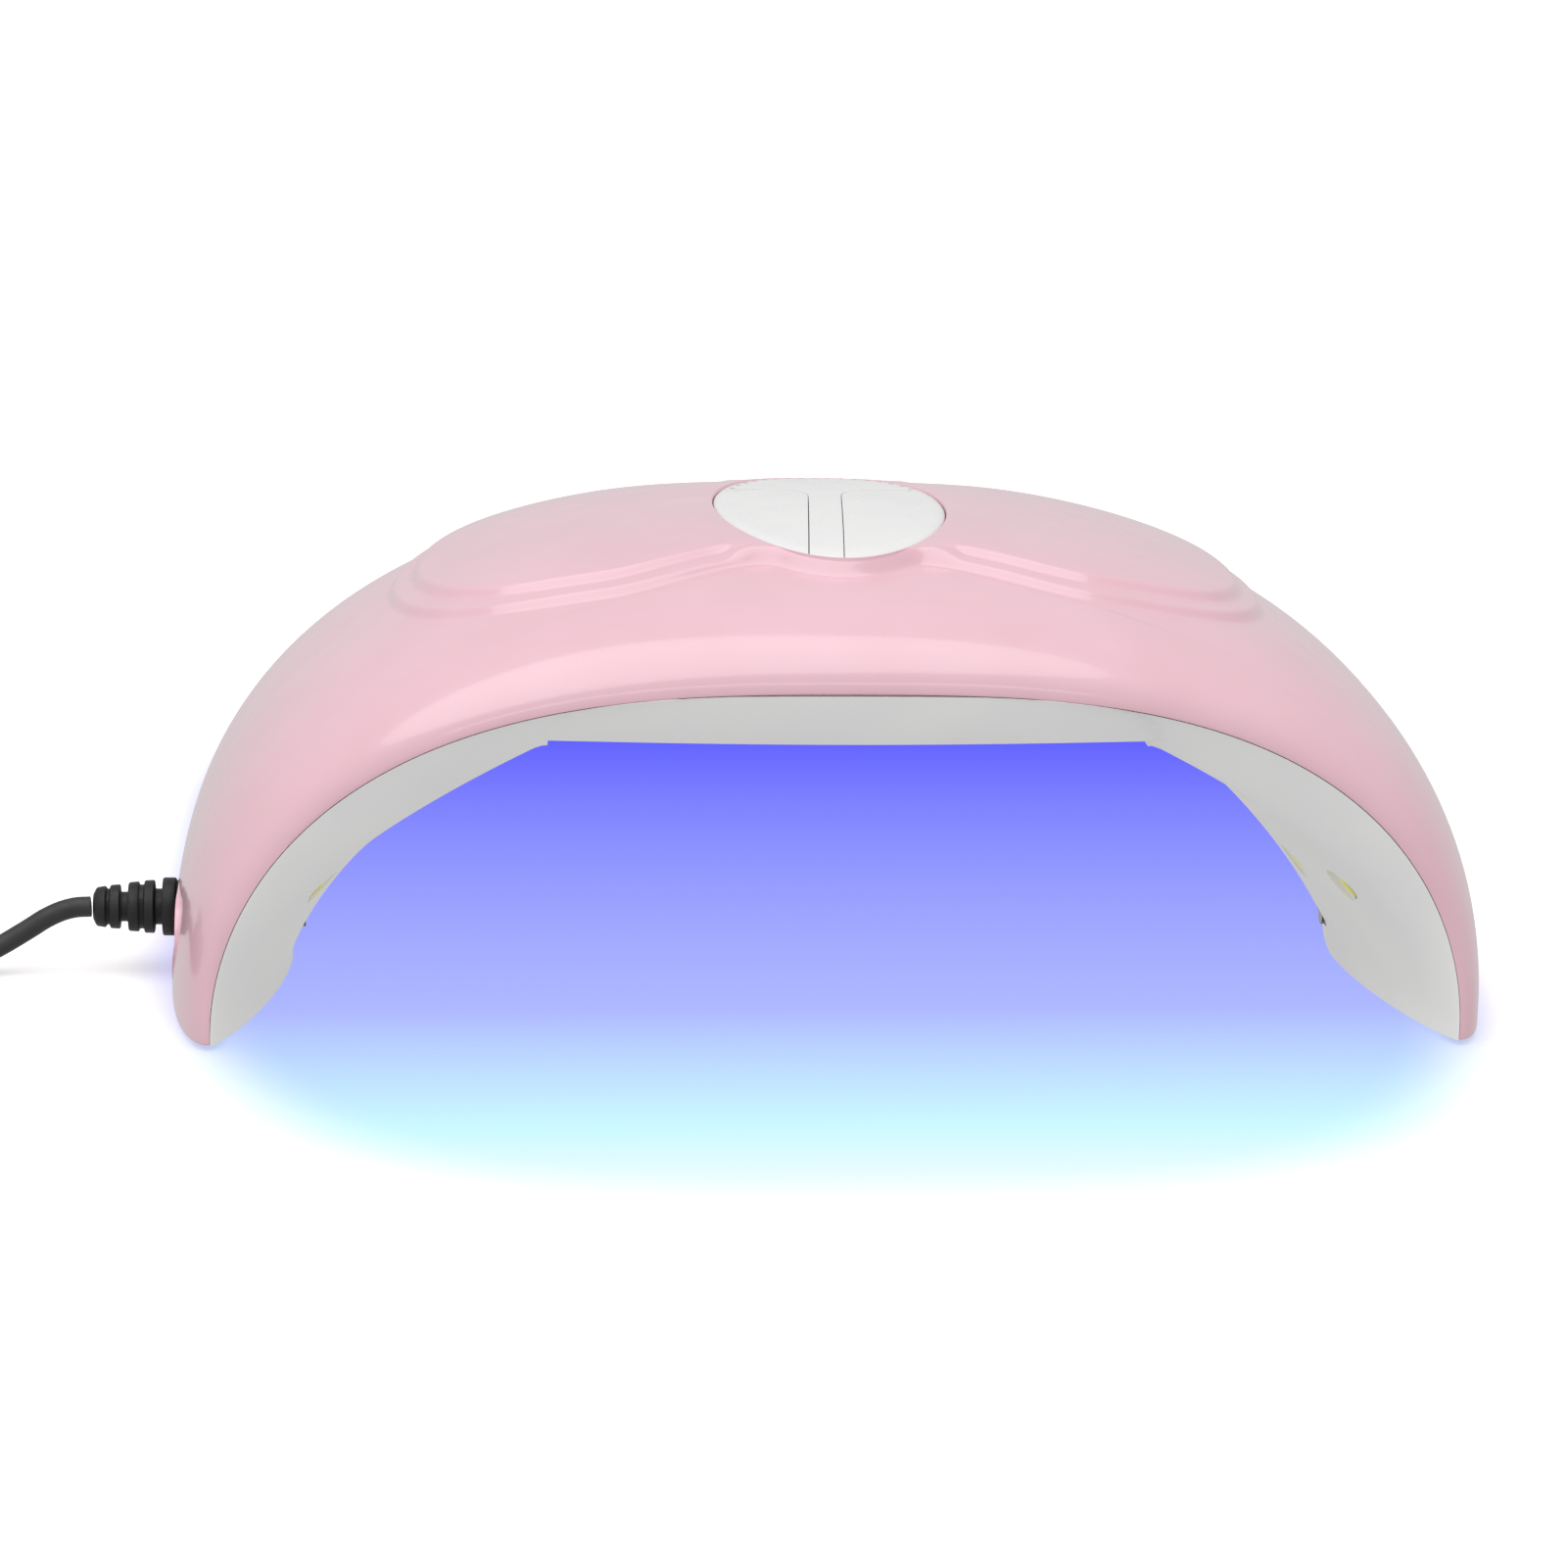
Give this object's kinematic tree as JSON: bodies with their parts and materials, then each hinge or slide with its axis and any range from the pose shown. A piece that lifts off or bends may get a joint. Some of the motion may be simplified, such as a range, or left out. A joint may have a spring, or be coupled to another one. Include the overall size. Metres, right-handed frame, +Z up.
{
  "type": "uv led nail lamp",
  "caption": "Free-standing arch-shaped nail curing lamp with a hand tunnel lined with LEDs, two push buttons on top, and a plug-in USB power lead.",
  "frame": {"origin": "on the ground, under the middle of the lamp without its lead", "axes": "+X to the right along the arch's span, +Y from the front opening to the back, +Z up"},
  "size_m": [0.3083, 0.122, 0.0774],
  "materials": {
    "pink_shell": "glossy injection-moulded ABS, pale pink",
    "white_liner": "satin white ABS",
    "white_buttons": "satin-gloss white ABS",
    "switch_black": "moulded black",
    "switch_plunger": "moulded white",
    "circuit_board": "green solder mask",
    "capacitor_can": "sleeved can",
    "screw_steel": "zinc-plated steel",
    "foot_rubber": "matt grey",
    "led_board_white": "white solder mask on aluminium",
    "led_lens": "clear yellow phosphor lens",
    "sensor_lens": "dark infrared filter epoxy",
    "wire_red": "PVC insulation",
    "boot_rubber": "moulded black PVC",
    "cord_jacket": "black PVC jacket",
    "tie_plastic": "plastic-coated wire tie",
    "plug_metal": "nickel plated"
  },
  "bodies": {
    "housing": {"upper_shell": "pink_shell", "inner_liner": "white_liner", "button_bezel": "white_buttons", "tact_switch_left": "switch_black", "tact_switch_right": "switch_black", "controller_chip": "switch_black", "power_transistor": "switch_black", "dc_jack": "switch_black", "control_board": "circuit_board", "smoothing_capacitor": "capacitor_can", "board_screw_left": "screw_steel", "board_screw_right": "screw_steel", "case_screw_front_left": "screw_steel", "case_screw_front_right": "screw_steel", "case_screw_back_left": "screw_steel", "case_screw_back_right": "screw_steel", "foot_pad_front_left": "foot_rubber", "foot_pad_front_right": "foot_rubber", "foot_pad_back_left": "foot_rubber", "foot_pad_back_right": "foot_rubber", "led_board_ceiling": "led_board_white", "led_board_wall_left": "led_board_white", "led_board_wall_right": "led_board_white", "led_board_shoulder_left": "led_board_white", "led_board_shoulder_right": "led_board_white", "led_bead_01": "led_lens", "led_bead_02": "led_lens", "led_bead_03": "led_lens", "led_bead_04": "led_lens", "led_bead_05": "led_lens", "led_bead_06": "led_lens", "led_bead_07": "led_lens", "led_bead_08": "led_lens", "led_bead_09": "led_lens", "led_bead_10": "led_lens", "led_bead_11": "led_lens", "led_bead_12": "led_lens", "led_bead_13": "led_lens", "led_bead_14": "led_lens", "led_bead_15": "led_lens", "led_bead_16": "led_lens", "led_bead_17": "led_lens", "led_bead_18": "led_lens", "ir_emitter": "sensor_lens", "ir_receiver": "sensor_lens", "jack_lead": "wire_red", "led_lead_left": "wire_red", "led_lead_right": "wire_red"},
    "button_left": {"timer_button_left": "white_buttons", "switch_plunger_left": "switch_plunger"},
    "button_right": {"timer_button_right": "white_buttons", "switch_plunger_right": "switch_plunger"},
    "power_lead": {"dc_plug_barrel": "plug_metal", "dc_plug_boot": "boot_rubber", "power_cord": "cord_jacket", "cord_coil": "cord_jacket", "coil_tie": "tie_plastic", "cord_tail": "cord_jacket", "usb_plug_body": "boot_rubber", "usb_plug_shell": "plug_metal"}
  },
  "joints": [
    {"name": "press_left", "type": "slide", "parent": "housing", "child": "button_left", "axis": [0, 0, -1], "range_m": [0, 0.0006], "stiffness_N_per_m": 2500, "springref_m": -0.0003},
    {"name": "press_right", "type": "slide", "parent": "housing", "child": "button_right", "axis": [0, 0, -1], "range_m": [0, 0.0006], "stiffness_N_per_m": 2500, "springref_m": -0.0003},
    {"name": "plug_pull", "type": "slide", "parent": "housing", "child": "power_lead", "axis": [-1, 0, 0], "range_m": [0, 0.012]}
  ]
}
